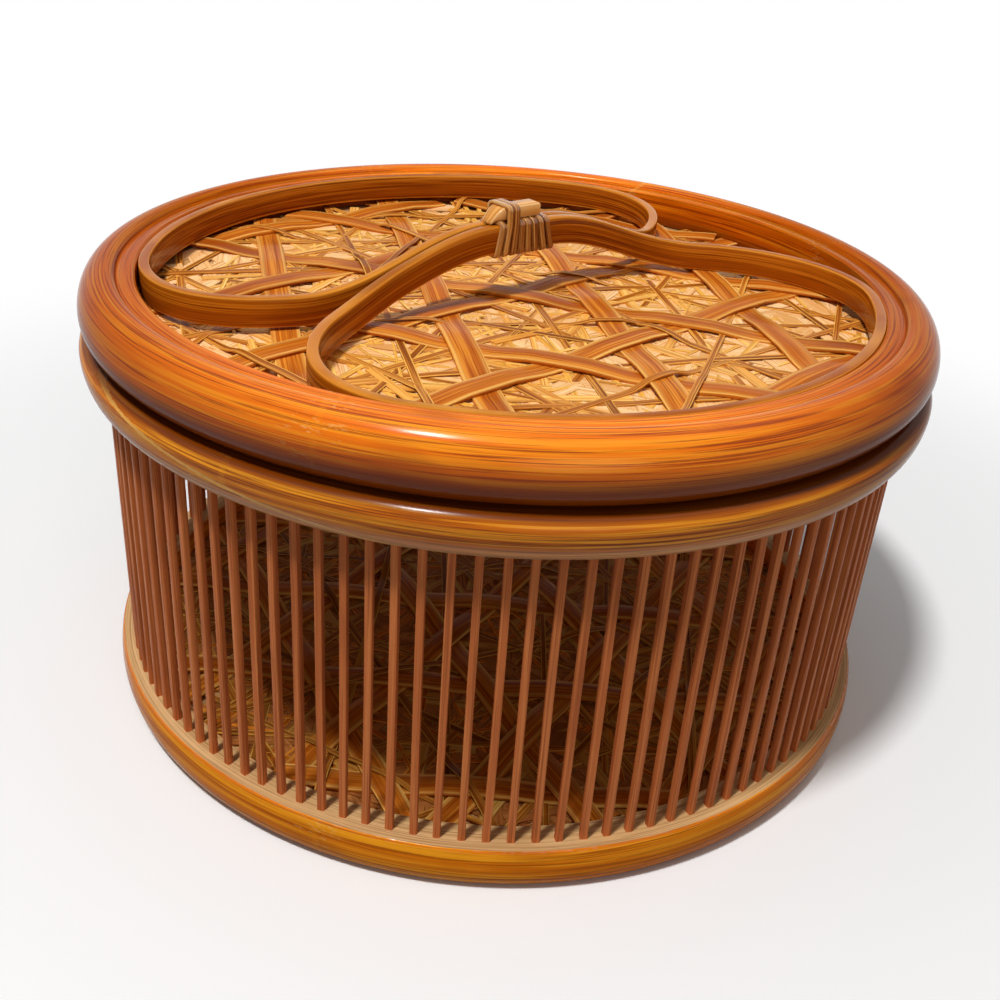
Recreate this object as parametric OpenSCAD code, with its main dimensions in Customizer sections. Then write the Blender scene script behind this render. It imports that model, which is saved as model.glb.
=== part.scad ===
// Round lidded box of lacquered bamboo, in millimetres.
// Two bent hoops carry a wall of thin planted rods and a woven floor.
// The lift-off lid has a woven panel and a handle of two bent strips tied back to back.
// The origin is the middle of the underside, and +Z is up.

/* [Box] */
// Outside diameter of the upper hoop
hoop_d = 200; // [180:1:230]
// Height from the table to the top of the upper hoop
box_h = 91.5; // [75:0.5:120]
// Height of the base hoop
base_h = 11; // [10:0.5:16]
// Height of the upper hoop
upper_h = 10; // [9:0.5:16]
// Radial width of the upper hoop
hoop_w = 10.5; // [9.5:0.25:12]
// Height of the upper hoop's widest line above its lower edge
upper_shoulder = 6.8; // [4:0.1:8]
// How far the upper hoop's round face bulges beyond its flat edges
upper_bulge = 3.8; // [1:0.1:4]
// How far the base hoop's outside stands in from the upper hoop's
base_inset = 2; // [0.5:0.1:2.4]
// Height of the base hoop's widest line above the table
base_shoulder = 6; // [4:0.1:8]
// How far the base hoop's foot stands in from its widest line
base_foot = 3.4; // [1:0.1:3.6]
// How far the base hoop's upper edge stands in from its widest line
base_lip = 1; // [0.5:0.1:2]

/* [Rods] */
// Number of rods in each quarter of the wall
quarter_rods = 29; // [20:1:34]
// Width of a rod across its flats
rod_w = 1.65; // [1.5:0.05:2]
// Width of the bevel along each edge of a rod
rod_bevel = 0.3; // [0.1:0.05:0.4]
// Distance from the upper hoop's outside to the middle of the rods
rod_inset = 6; // [5.6:0.1:7]
// Diameter of the round peg at each end of a rod
peg_d = 1.3; // [0.9:0.05:1.4]
// Depth of a peg in its hoop
peg_l = 5; // [3:0.5:5.5]
// Turn of the whole row of rods about the middle, in degrees
rod_turn = -1.2; // [-3:0.1:3]

/* [Floor] */
// Height of the floor's upper face above the table
floor_z = 5.2; // [4.6:0.1:6]
// Thickness of the floor and of the lid's panel
panel_t = 1.2; // [0.8:0.1:1.6]
// How far a panel reaches under the lip that it bears on
panel_lap = 2.3; // [1.5:0.1:3]
// Thickness of the bent bands that hold the two panels
band_t = 2.2; // [1.5:0.1:3]
// How far the floor band stays above the table
band_lift = 0.8; // [0.5:0.1:1.2]

/* [Lid] */
// How far the lid ring's outside stands in from the upper hoop's
lid_inset = 0.6; // [0:0.1:2]
// Height of the lid ring
lid_h = 13.8; // [12:0.2:18]
// Height of the lid ring's widest line above its foot
lid_shoulder = 5.7; // [3:0.1:7]
// How far the lid ring's foot stands in from its widest line
lid_foot = 5; // [1:0.25:6]
// Width from the lid ring's inner wall to the top of its dome
crown_w = 6.4; // [5.2:0.2:7.4]
// Width of the flat ledge inside the crown
ledge_w = 4.2; // [3:0.2:4.8]
// Drop from the top of the dome to that ledge
ledge_drop = 1.2; // [0.5:0.1:2]
// Height of the lid panel's upper face above the lid's foot
lid_panel_up = 3.9; // [3:0.1:5.5]
// How far the lid band reaches down into the box
band_drop = 8; // [4:0.5:12]

/* [Weave] */
// Width of a wide woven strip
weave_w = 6.5; // [4:0.25:8]
// Thickness of a woven strip
weave_t = 0.8; // [0.5:0.05:1]
// Distance between neighbouring strips of one direction
weave_pitch = 37; // [32:0.5:44]
// Direction of the first set of strips in the lid, in degrees
weave_turn = -15; // [-60:1:60]

/* [Handle] */
// Thickness of a handle strip
strip_t = 2.5; // [2:0.1:3.4]
// Height of a handle strip
strip_h = 6.75; // [5:0.25:8]
// How far the strips climb from the weave to the knot
handle_rise = 10.75; // [8:0.25:14]
// Direction of the tied run across the lid, in degrees
knot_angle = 41; // [25:1:55]
// Half length of the run where the two strips lie side by side
tied_run = 32.5; // [28:0.5:38]
// Gap between the two strips on that run
tied_gap = 0.8; // [0.3:0.1:1.2]
// Distance from the middle at which the strips begin to climb
climb_r = 56.5; // [46:0.5:62]
// Where the front strip's long leg meets the lid ring, in degrees
front_leg_at = -3; // [-12:1:6]
// Where the back strip's long leg meets the lid ring, in degrees from its own side
back_leg_at = 8; // [0:1:18]
// Where the short leg of each strip meets the lid ring, in degrees
short_leg_at = -100; // [-108:1:-94]

/* [Knot] */
// Number of turns of cane round the handle
knot_turns = 8; // [6:1:9]
// Number of turns that pass over the tucked tail
over_turns = 2; // [2:1:3]
// Distance from one turn to the next
knot_pitch = 1.85; // [1.7:0.05:2]
// How much wider the turns spread below the handle than on top of it, as a share
knot_spread = 0.25; // [0:0.05:0.35]
// Width of the flat cane
cane_w = 1.35; // [1:0.05:1.4]
// Thickness of the flat cane
cane_t = 0.7; // [0.4:0.05:0.9]
// Thickness of the tail tucked along the top of the knot
tail_t = 2.8; // [1:0.1:3.5]
// Width of the tail
tail_w = 4.8; // [3:0.1:5.2]
// Length of the tail
tail_l = 11; // [9:0.25:12]

/* [Clearances] */
// Radial gap between glued or pegged pieces
fit = 0.1; // [0.05:0.05:0.2]
// Gap between faces that bear on each other
seat = 0.1; // [0.05:0.05:0.15]
// Radial gap between the lid band and the upper hoop
lid_fit = 0.4; // [0.3:0.05:0.8]

/* [Hidden] */

$fn = 96;

// Radii and heights that follow from the driving sizes
upper_r = hoop_d / 2;
inner_r = upper_r - hoop_w;
base_r = upper_r - base_inset;
rod_r = upper_r - rod_inset;
upper_z = box_h - upper_h;
floor_r = inner_r + panel_lap;
band_r = inner_r - lid_fit;
lid_r = upper_r - lid_inset;
lid_inner_r = band_r - panel_lap;
lid_z = box_h + seat;
lid_panel_z = lid_z + lid_panel_up;
lid_top = lid_z + lid_h;

// The weave: strips of three directions, each set at 60 degrees to the next
weave_step = weave_pitch / sin(60);
weave_swing = (weave_t + seat) / 2;
weave_rise = 2 * weave_swing + weave_t;
weave_flat = 1.6;
weave_segments = 16;

// The handle: where its strips stand, and how far each end of a curved leg keeps its direction
strip_z = lid_panel_z + seat + weave_rise + seat;
strip_r = lid_inner_r - seat - strip_t / 2;
strip_off = (strip_t + tied_gap) / 2;
strip_edge = 0.5;
knot_half = knot_turns * knot_pitch / 2;
front_pull = [28, 30];
back_pull = [46, 23];
short_pull = [24, 32];

// The knot: the bundle of two strips, and the path of the cane round it
bundle_w = 2 * strip_t + tied_gap;
bundle_z = strip_z + handle_rise;
turn_gap = cane_t / 2 + seat;
turn_corner = strip_edge + turn_gap;
tail_z = bundle_z + strip_h + 2 * seat + cane_t;
over_lift = tail_t + cane_t + 2 * seat;

colour_hoop = [0.72, 0.37, 0.10];
colour_lid = [0.76, 0.41, 0.12];
colour_rod = [0.47, 0.26, 0.15];
colour_panel = [0.86, 0.70, 0.48];
colour_weave = [0.70, 0.36, 0.11];
colour_strip = [0.66, 0.33, 0.09];
colour_cane = [0.42, 0.20, 0.09];

// Points on part of an ellipse
function arc_points(centre, size, from, to, count) =
    [for (i = [0:count])
        let (a = from + (to - from) * i / count)
        [centre[0] + size[0] * cos(a), centre[1] + size[1] * sin(a)]];

// Points of a hoop's round face, from its lower edge by its widest line to its upper edge
function round_face(r, low, widest, high, low_in, high_in) =
    let (
        lower = arc_points([r - low_in, widest], [low_in, widest - low], -90, 0, 8),
        upper = arc_points([r - high_in, widest], [high_in, high - widest], 0, 90, 10)
    )
    concat(lower, [for (i = [1:len(upper) - 1]) upper[i]]);

// Point on a cubic curve between p[0] and p[3]
function curve_point(p, t) =
    pow(1 - t, 3) * p[0] + 3 * pow(1 - t, 2) * t * p[1] + 3 * (1 - t) * t * t * p[2] + pow(t, 3) * p[3];

function polar(r, a) = [r * cos(a), r * sin(a)];

// A smooth step from 0 at "from" to 1 at "to"
function ease(x, from, to) =
    let (t = min(1, max(0, (x - from) / (to - from))))
    (1 - cos(180 * t)) / 2;

// Triangles between rings of points, capped at both ends or closed on itself
function sweep_faces(rings, sides, closed) =
    let (last = closed ? rings : rings - 1)
    concat(
        [for (i = [0:last - 1], j = [0:sides - 1], half = [0, 1])
            let (
                a = i * sides + j,
                b = i * sides + (j + 1) % sides,
                c = ((i + 1) % rings) * sides + j,
                d = ((i + 1) % rings) * sides + (j + 1) % sides
            )
            half == 0 ? [a, c, b] : [b, c, d]],
        closed ? [] : [for (j = [1:sides - 2]) [0, j, j + 1]],
        closed ? [] : [for (j = [1:sides - 2]) (rings - 1) * sides * [1, 1, 1] + [0, j + 1, j]]
    );

module swept(rings, closed) {
    polyhedron(
        points = [for (ring = rings, p = ring) p],
        faces = sweep_faces(len(rings), len(rings[0]), closed)
    );
}

// Where each rod stands round the box, counted from the start of the right quarter
function rod_angle(i) = rod_turn - 45 + (i + 0.5) * 90 / quarter_rods;

// Blind holes for one end of every rod
module rod_holes(z, depth) {
    for (i = [0:4 * quarter_rods - 1])
        rotate(rod_angle(i))
            translate([rod_r, 0, z])
                cylinder(d = peg_d + 2 * fit, h = depth, $fn = 24);
}

// A ring of rectangular section
module plain_ring(outer, inner, z, h) {
    rotate_extrude()
        translate([inner, z])
            square([outer - inner, h]);
}

module base_hoop() {
    face = round_face(base_r, 0, base_shoulder, base_h, base_foot, base_lip);
    rebate_r = floor_r + fit;
    section = concat(
        [[rebate_r, 0]],
        face,
        [[inner_r, base_h], [inner_r, floor_z], [rebate_r, floor_z]]
    );
    color(colour_hoop)
        difference() {
            rotate_extrude()
                polygon(section);
            rod_holes(base_h - peg_l - seat, peg_l + 1);
        }
}

module upper_hoop() {
    face = round_face(upper_r, upper_z, upper_z + upper_shoulder, box_h, upper_bulge, upper_bulge);
    color(colour_hoop)
        difference() {
            rotate_extrude()
                polygon(concat([[inner_r, upper_z]], face, [[inner_r, box_h]]));
            rod_holes(upper_z - 1, peg_l + seat + 1);
        }
}

// One bevelled square rod with a round peg at each end
module rod() {
    flat = rod_w / 2 - rod_bevel;
    half = rod_w / 2;
    translate([0, 0, base_h])
        linear_extrude(upper_z - base_h)
            polygon([
                [half, -flat], [half, flat], [flat, half], [-flat, half],
                [-half, flat], [-half, -flat], [-flat, -half], [flat, -half]
            ]);
    translate([0, 0, base_h - peg_l])
        cylinder(d = peg_d, h = upper_z - base_h + 2 * peg_l, $fn = 24);
}

// One quarter of the wall: 0 is the right side, 1 the back, 2 the left and 3 the front
module rod_quarter(quarter) {
    color(colour_rod)
        for (i = [0:quarter_rods - 1])
            rotate(rod_angle(quarter * quarter_rods + i))
                translate([rod_r, 0, 0])
                    rod();
}

module rods_right() { rod_quarter(0); }
module rods_back() { rod_quarter(1); }
module rods_left() { rod_quarter(2); }
module rods_front() { rod_quarter(3); }

module floor_panel() {
    color(colour_panel)
        translate([0, 0, floor_z - panel_t])
            cylinder(r = floor_r, h = panel_t);
}

module floor_band() {
    color(colour_hoop)
        plain_ring(floor_r, floor_r - band_t, band_lift, floor_z - panel_t - seat - band_lift);
}

// Side view of one woven strip of the given half length, from underside to top and back
function strip_section(half, crest) =
    let (
        steps = ceil(2 * half / (weave_step / weave_segments)),
        line = [for (i = [0:steps])
            let (
                t = -half + 2 * half * i / steps,
                wave = weave_flat * cos(360 * (t - crest) / weave_step)
            )
            [t, weave_swing * (1 + min(1, max(-1, wave)))]]
    )
    concat(line, [for (i = [steps:-1:0]) line[i] + [0, weave_t]]);

// One direction of the weave: strips at equal steps, each over and under the other sets in turn.
// "start" shifts the set by a part of a step, and "beat" chooses which crossings it goes over.
module weave_set(angle, start, beat, reach, z) {
    rows = floor(reach / weave_pitch) + 1;
    color(colour_weave)
        rotate(angle)
            for (row = [-rows:rows]) {
                off = (row + start) * weave_pitch;
                edge = abs(off) + weave_w / 2;
                if (edge < reach - weave_w) {
                    half = sqrt(reach * reach - edge * edge);
                    crest = off / (2 * sin(60)) + beat * weave_step / 2;
                    translate([0, off + weave_w / 2, z])
                        rotate([90, 0, 0])
                            linear_extrude(weave_w)
                                polygon(strip_section(half, crest));
                }
            }
}

module floor_weave(angle, start, beat) { weave_set(angle, start, beat, inner_r - seat, floor_z + seat); }
module floor_weave_a() { floor_weave(0, 0, 0); }
module floor_weave_b() { floor_weave(60, 0, 1); }
module floor_weave_c() { floor_weave(120, 0.5, 0); }

module lid_weave(turn, start, beat) {
    weave_set(weave_turn + turn, start, beat, lid_inner_r - seat, lid_panel_z + seat);
}
module lid_weave_a() { lid_weave(0, 0, 0); }
module lid_weave_b() { lid_weave(60, 0, 1); }
module lid_weave_c() { lid_weave(120, 0.5, 0); }

module lid_ring() {
    crown_r = lid_inner_r + crown_w;
    ledge_z = lid_top - ledge_drop;
    rebate_r = band_r + fit;
    face = round_face(lid_r, lid_z, lid_z + lid_shoulder, lid_top, lid_foot, lid_r - crown_r);
    fall = arc_points([crown_r, ledge_z], [ledge_w - crown_w, ledge_drop], 90, 0, 5);
    section = concat(
        [[rebate_r, lid_z]],
        face,
        [for (i = [1:len(fall) - 1]) fall[i]],
        [
            [lid_inner_r + strip_edge, ledge_z],
            [lid_inner_r, ledge_z - strip_edge],
            [lid_inner_r, lid_panel_z],
            [rebate_r, lid_panel_z]
        ]
    );
    color(colour_lid)
        rotate_extrude()
            polygon(section);
}

module lid_panel() {
    color(colour_panel)
        translate([0, 0, lid_panel_z - panel_t])
            cylinder(r = band_r, h = panel_t);
}

module lid_band() {
    foot_z = box_h - band_drop;
    color(colour_hoop)
        plain_ring(band_r, band_r - band_t, foot_z, lid_panel_z - panel_t - seat - foot_z);
}

// Plan of a strip's centre line, once round:
// along the ring, in by the long leg, through the knot and out by the short leg
function loop_plan(long_leg_at, long_pull) =
    let (
        along = polar(1, knot_angle),
        side = polar(strip_off, knot_angle - 90),
        far = side + tied_run * along,
        near = side - tied_run * along,
        long_end = polar(strip_r, long_leg_at),
        short_end = polar(strip_r, short_leg_at),
        long_dir = polar(1, long_leg_at + 90),
        short_dir = polar(1, short_leg_at - 90),
        long_leg = [long_end, long_end + long_pull[1] * long_dir, far + long_pull[0] * along, far],
        short_leg = [near, near - short_pull[0] * along, short_end + short_pull[1] * short_dir, short_end]
    )
    concat(
        [for (i = [0:29]) polar(strip_r, short_leg_at + (long_leg_at - short_leg_at) * i / 30)],
        [for (i = [0:15]) curve_point(long_leg, i / 16)],
        [for (i = [0:23]) far + (near - far) * i / 24],
        [for (i = [0:15]) curve_point(short_leg, i / 16)]
    );

// Height of a strip's lower edge: it climbs towards the knot and is level where it is tied
function strip_foot(p) = strip_z + handle_rise * (1 - ease(norm(p), knot_half + 1, climb_r));

// A strip on edge, with its long edges eased
function strip_rings(plan) =
    let (
        count = len(plan),
        half = strip_t / 2,
        e = strip_edge,
        section = [
            [half - e, 0], [half, e], [half, strip_h - e], [half - e, strip_h],
            [e - half, strip_h], [-half, strip_h - e], [-half, e], [e - half, 0]
        ]
    )
    [for (i = [0:count - 1])
        let (
            p = plan[i],
            run = plan[(i + 1) % count] - plan[(i + count - 1) % count],
            out = [run[1], -run[0]] / norm(run),
            foot = strip_foot(p)
        )
        [for (s = section) [p[0] + s[0] * out[0], p[1] + s[0] * out[1], foot + s[1]]]];

module loop_front() {
    color(colour_strip)
        swept(strip_rings(loop_plan(front_leg_at, front_pull)), true);
}

module loop_back() {
    color(colour_strip)
        rotate(180)
            swept(strip_rings(loop_plan(back_leg_at, back_pull)), true);
}

// The cane's path round the bundle, seen along the knot, with 24 points a turn:
// four corners of four points, and two points on the straight side after each
turn_points = 24;
function turn_lift(turn) = turn > 0 && turn <= over_turns ? over_lift : 0;
function corner_centre(q, turn) =
    let (
        across = bundle_w / 2 - strip_edge,
        up = strip_h / 2 - strip_edge
    )
    [(q == 0 || q == 3) ? across : -across, q < 2 ? up + turn_lift(turn) : -up];
function corner_point(q, j, turn) = corner_centre(q, turn) + polar(turn_corner, 90 * q + 30 * j);
function turn_point(i) =
    let (
        turn = floor(i / turn_points),
        k = i % turn_points,
        q = floor(k / 6),
        j = k % 6,
        start = corner_point(q, 3, turn),
        end = q < 3 ? corner_point(q + 1, 0, turn) : corner_point(0, 0, turn + 1)
    )
    j < 4 ? corner_point(q, j, turn) : start + (end - start) * (j - 3) / 3;
function turn_normal(i) =
    let (k = i % turn_points)
    polar(1, 90 * floor(k / 6) + 30 * min(3, k % 6));

// One ring of the flat cane, from its place along the knot, its point and its outward direction
function cane_ring(s, p, out) =
    let (
        w = cane_w / 2,
        t = cane_t / 2,
        narrow = 0.64,
        section = [[w, 0], [narrow * w, t], [-narrow * w, t], [-w, 0], [-narrow * w, -t], [narrow * w, -t]]
    )
    [for (c = section) [s + c[0], p[0] + c[1] * out[0], p[1] + c[1] * out[1]]];

cane_last = turn_points * knot_turns - 3;
cane_path = [for (i = [0:cane_last]) turn_point(i)];
function cane_s(i) =
    let (low = max(0, min(1, 0.5 - cane_path[i][1] / strip_h)))
    (i / turn_points - knot_turns / 2) * knot_pitch * (1 + knot_spread * low);
cane_rings = concat(
    [cane_ring(cane_s(0), cane_path[0] - [0, cane_w], turn_normal(0))],
    [for (i = [0:cane_last]) cane_ring(cane_s(i), cane_path[i], turn_normal(i))],
    [cane_ring(cane_s(cane_last), cane_path[cane_last] + [0, cane_w], turn_normal(cane_last))]
);
cane_gap = min([for (i = [0:cane_last - turn_points], near = [-1, 0, 1])
    let (other = i + turn_points + near)
    if (other <= cane_last)
        min([for (p = cane_rings[i + 1], q = cane_rings[other + 1]) norm(p - q)])]);
echo(least_gap_between_turns = cane_gap);

// Places what is drawn along the knot onto the tied strips
module at_knot() {
    rotate(knot_angle)
        translate([0, 0, bundle_z + strip_h / 2])
            children();
}

module knot_binding() {
    color(colour_cane)
        at_knot()
            swept(cane_rings, false);
}

// The cane's flat tail, under the raised turns and over the rest
module knot_tail() {
    start = -knot_half + 0.7 * knot_pitch;
    e = strip_edge;
    w = tail_w / 2;
    color(colour_strip)
        rotate(knot_angle)
            translate([start, 0, tail_z])
                rotate([90, 0, 90])
                    linear_extrude(tail_l)
                        polygon([[-w, 0], [w, 0], [w, tail_t - e], [w - e, tail_t], [e - w, tail_t], [-w, tail_t - e]]);
}

base_hoop();
floor_panel();
floor_band();
floor_weave_a();
floor_weave_b();
floor_weave_c();
rods_front();
rods_right();
rods_back();
rods_left();
upper_hoop();
lid_ring();
lid_panel();
lid_band();
lid_weave_a();
lid_weave_b();
lid_weave_c();
loop_front();
loop_back();
knot_binding();
knot_tail();
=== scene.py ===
# %% [markdown]
# # A round lidded box of lacquered bamboo
# Two bent hoops hold a fence of planted rods, and a lid with a woven panel lies on top.
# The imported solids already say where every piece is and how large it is.
# This script gives each piece its look. It measures the round solids, and repeats only the
# finer sizes that a solid's box can't tell.

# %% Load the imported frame
import math
import random

import bmesh
import bpy
from mathutils import Matrix, Vector


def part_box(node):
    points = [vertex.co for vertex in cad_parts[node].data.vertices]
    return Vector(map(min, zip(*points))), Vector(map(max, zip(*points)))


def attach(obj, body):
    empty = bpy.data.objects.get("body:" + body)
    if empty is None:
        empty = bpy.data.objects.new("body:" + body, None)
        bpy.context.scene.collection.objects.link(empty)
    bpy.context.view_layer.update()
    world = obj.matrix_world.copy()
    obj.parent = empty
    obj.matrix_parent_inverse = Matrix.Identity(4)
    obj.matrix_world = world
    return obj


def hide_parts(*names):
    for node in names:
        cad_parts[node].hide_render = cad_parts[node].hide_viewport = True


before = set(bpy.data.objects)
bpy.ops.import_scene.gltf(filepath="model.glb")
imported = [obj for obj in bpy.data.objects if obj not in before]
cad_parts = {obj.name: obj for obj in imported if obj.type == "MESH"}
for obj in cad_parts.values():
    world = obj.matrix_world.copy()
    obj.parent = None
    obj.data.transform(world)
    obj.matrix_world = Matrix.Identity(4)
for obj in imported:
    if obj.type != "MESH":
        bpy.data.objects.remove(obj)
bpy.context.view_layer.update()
mm = 0.001


def inner_radius(node):
    """The smallest distance of a node's vertices from the middle axis."""
    return min(math.hypot(v.co.x, v.co.y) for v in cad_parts[node].data.vertices)


def place(node):
    """(outer radius, inner radius, underside, top) of a round node."""
    low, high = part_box(node)
    return high.x, inner_radius(node), low.z, high.z


base_r, base_inner_r, base_z, base_top = place("base_hoop")
upper_r, inner_r, upper_z, box_top = place("upper_hoop")
lid_r, lid_inner_r, lid_z, lid_top = place("lid_ring")
floor_r, _, floor_under, floor_top = place("floor_panel")
panel_r, _, panel_under, panel_top = place("lid_panel")
print("box", round(2 * upper_r / mm, 1), "mm across, lid top at", round(lid_top / mm, 1), "mm")

# %% [markdown]
# ## Small tools for shaders
# A shader is a graph of nodes. Writing node after node hides the idea, so a few
# helpers make a node, fill its inputs with numbers or links, and hand back its output.
# Effects that several finishes share become node groups, built once.

# %% Shader helpers
def fill(tree, socket, value):
    """Puts a number, a colour or another node's output into a socket."""
    if isinstance(value, bpy.types.NodeSocket):
        tree.links.new(value, socket)
    elif value is not None:
        socket.default_value = value


def calc(tree, operation, a, b=None):
    node = tree.nodes.new("ShaderNodeMath")
    node.operation = operation
    fill(tree, node.inputs[0], a)
    fill(tree, node.inputs[1], b)
    return node.outputs[0]


def ramp(tree, value, low, high, to_low=0.0, to_high=1.0):
    """A smooth step of value from low to high."""
    node = tree.nodes.new("ShaderNodeMapRange")
    node.interpolation_type = "SMOOTHSTEP"
    names = ("Value", "From Min", "From Max", "To Min", "To Max")
    for name, part in zip(names, (value, low, high, to_low, to_high)):
        fill(tree, node.inputs[name], part)
    return node.outputs["Result"]


def blend(tree, share, first, second):
    """A mix of two colours."""
    node = tree.nodes.new("ShaderNodeMix")
    node.data_type = "RGBA"
    fill(tree, node.inputs[0], share)
    fill(tree, node.inputs[6], first)
    fill(tree, node.inputs[7], second)
    return node.outputs[2]


def stretched_noise(tree, vector, scale, detail=3.0, roughness=0.6):
    """Noise that is stretched differently along x, y and z. The scale is in lumps a metre."""
    node = tree.nodes.new("ShaderNodeVectorMath")
    node.operation = "MULTIPLY"
    fill(tree, node.inputs[0], vector)
    node.inputs[1].default_value = scale
    noise = tree.nodes.new("ShaderNodeTexNoise")
    tree.links.new(node.outputs[0], noise.inputs["Vector"])
    noise.inputs["Scale"].default_value = 1.0
    noise.inputs["Detail"].default_value = detail
    noise.inputs["Roughness"].default_value = roughness
    return noise.outputs["Fac"]


def vector_of(tree, x, y, z):
    node = tree.nodes.new("ShaderNodeCombineXYZ")
    for socket, value in zip(node.inputs, (x, y, z)):
        fill(tree, socket, value)
    return node.outputs[0]


def split_vector(tree, vector):
    node = tree.nodes.new("ShaderNodeSeparateXYZ")
    tree.links.new(vector, node.inputs[0])
    return node.outputs


def object_place(tree):
    """Where a point lies on the box, in metres."""
    return tree.nodes.new("ShaderNodeTexCoord").outputs["Object"]


def new_group(name, inputs, outputs):
    """An empty node group with named sockets. Returns its tree, its inputs and its outputs by name."""
    tree = bpy.data.node_groups.new(name, "ShaderNodeTree")
    for label, kind in inputs:
        tree.interface.new_socket(name=label, in_out="INPUT", socket_type=kind)
    for label, kind in outputs:
        tree.interface.new_socket(name=label, in_out="OUTPUT", socket_type=kind)
    return tree, tree.nodes.new("NodeGroupInput").outputs, tree.nodes.new("NodeGroupOutput").inputs


def use_group(tree, group, **values):
    """Places a group in a material and fills its inputs."""
    node = tree.nodes.new("ShaderNodeGroup")
    node.node_tree = group
    for name, value in values.items():
        fill(tree, node.inputs[name], value)
    return node.outputs


FLOAT, VECTOR, COLOUR = "NodeSocketFloat", "NodeSocketVector", "NodeSocketColor"

# %% [markdown]
# ## Bamboo fibre
# Split bamboo is a bundle of straight fibres. Stain sinks in deeper between them, so the
# colour runs in long streaks, and the lacquer over them is faintly ribbed.
# A noise that is stretched along the fibre gives streaks of any length from three numbers.
# The group takes a grain vector in metres: x runs along the fibre, y and z across it.

# %% The fibre group
def make_fibre_group():
    tree, given, out = new_group(
        "bamboo_fibre",
        [("Grain", VECTOR), ("Tone", FLOAT), ("Pale", COLOUR), ("Body", COLOUR), ("Deep", COLOUR)],
        [("Color", COLOUR), ("Streak", FLOAT), ("Height", FLOAT)],
    )
    grain = given["Grain"]
    gold = stretched_noise(tree, grain, (14, 1000, 1000), detail=3.0)
    streak = stretched_noise(tree, grain, (16, 1700, 1700), detail=3.0)
    fine = stretched_noise(tree, grain, (40, 3600, 3600), detail=2.0)
    patch = stretched_noise(tree, grain, (26, 60, 60), detail=2.0)

    dark = calc(tree, "ADD", calc(tree, "MULTIPLY", streak, 0.6), calc(tree, "MULTIPLY", fine, 0.4))
    light = calc(tree, "SUBTRACT", calc(tree, "MULTIPLY", gold, 0.8), calc(tree, "MULTIPLY", fine, 0.2))
    colour = blend(tree, ramp(tree, light, 0.26, 0.40), given["Body"], given["Pale"])
    colour = blend(tree, ramp(tree, dark, 0.49, 0.61, 0.0, 0.85), colour, given["Deep"])
    drift = calc(tree, "ADD", ramp(tree, patch, 0.30, 0.75), calc(tree, "SUBTRACT", given["Tone"], 0.5))
    colour = blend(tree, ramp(tree, drift, 0.55, 1.35, 0.0, 0.8), colour, given["Deep"])
    tree.links.new(colour, out["Color"])
    tree.links.new(streak, out["Streak"])
    tree.links.new(dark, out["Height"])
    return tree


fibre = make_fibre_group()
print("fibre group with", len(fibre.nodes), "nodes")

# %% [markdown]
# ## Grain that runs round a hoop
# A hoop is a straight lath, steamed and bent until its two ends overlap in a slanted joint.
# Its fibres run round the box, so the grain is read in polar coordinates.
# The angle jumps by a full turn somewhere, and that jump is put where the joint is, on a slant.
# A bamboo stem also has a node about every hand's length, seen as a pale line across the lath.

# %% The bent lath group
def make_bent_group():
    tree, given, out = new_group(
        "bent_lath",
        [("Joint", FLOAT), ("Slant", FLOAT), ("Middle", FLOAT), ("Radius", FLOAT), ("Spacing", FLOAT)],
        [("Grain", VECTOR), ("Joint line", FLOAT), ("Node line", FLOAT), ("Near mark", FLOAT)],
    )
    place_on = object_place(tree)
    _, _, height = split_vector(tree, place_on)
    turn = tree.nodes.new("ShaderNodeVectorRotate")
    turn.rotation_type = "Z_AXIS"
    tree.links.new(place_on, turn.inputs["Vector"])
    lean = calc(tree, "MULTIPLY", given["Slant"], calc(tree, "SUBTRACT", height, given["Middle"]))
    tree.links.new(calc(tree, "SUBTRACT", lean, given["Joint"]), turn.inputs["Angle"])
    x, y, z = split_vector(tree, turn.outputs[0])
    round_angle = calc(tree, "ARCTAN2", y, calc(tree, "MULTIPLY", x, -1.0))
    along = calc(tree, "MULTIPLY", round_angle, given["Radius"])
    squares = calc(tree, "ADD", calc(tree, "MULTIPLY", x, x), calc(tree, "MULTIPLY", y, y))
    out_from_axis = calc(tree, "SQRT", squares)
    tree.links.new(vector_of(tree, along, out_from_axis, z), out["Grain"])

    wobble = stretched_noise(tree, place_on, (700, 700, 900), detail=3.0)
    end = calc(tree, "MULTIPLY", given["Radius"], math.pi)
    from_end = calc(tree, "SUBTRACT", end, calc(tree, "ABSOLUTE", along))
    steepness = calc(tree, "ADD", calc(tree, "MULTIPLY", given["Slant"], given["Radius"]), 1.0)
    from_joint = calc(tree, "DIVIDE", from_end, steepness)
    splinter = calc(tree, "SUBTRACT", from_joint, calc(tree, "MULTIPLY", wobble, 0.5 * mm))
    tree.links.new(ramp(tree, splinter, 0.0, 0.12 * mm, 1.0, 0.0), out["Joint line"])

    across = calc(tree, "ADD", along, calc(tree, "MULTIPLY", lean, given["Radius"]))
    shifted = calc(tree, "ADD", across, calc(tree, "MULTIPLY", wobble, 1.2 * mm))
    cell = calc(tree, "PINGPONG", shifted, calc(tree, "MULTIPLY", given["Spacing"], 0.5))
    tree.links.new(ramp(tree, cell, 0.3 * mm, 1.1 * mm, 1.0, 0.0), out["Node line"])
    nearest = calc(tree, "MINIMUM", cell, calc(tree, "MULTIPLY", from_joint, 3.0))
    tree.links.new(ramp(tree, nearest, 1 * mm, 10 * mm, 1.0, 0.0), out["Near mark"])
    return tree


bent = make_bent_group()
print("bent lath group with", len(bent.nodes), "nodes")

# %% [markdown]
# ## Finishes
# All finishes share one recipe: streaked fibre colour, and a bump so small that it only breaks
# up the reflections. What differs is where the grain comes from and which three colours it
# runs through. The bent hoops also have a clear coat, which is worn thin at their two sides.

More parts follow.
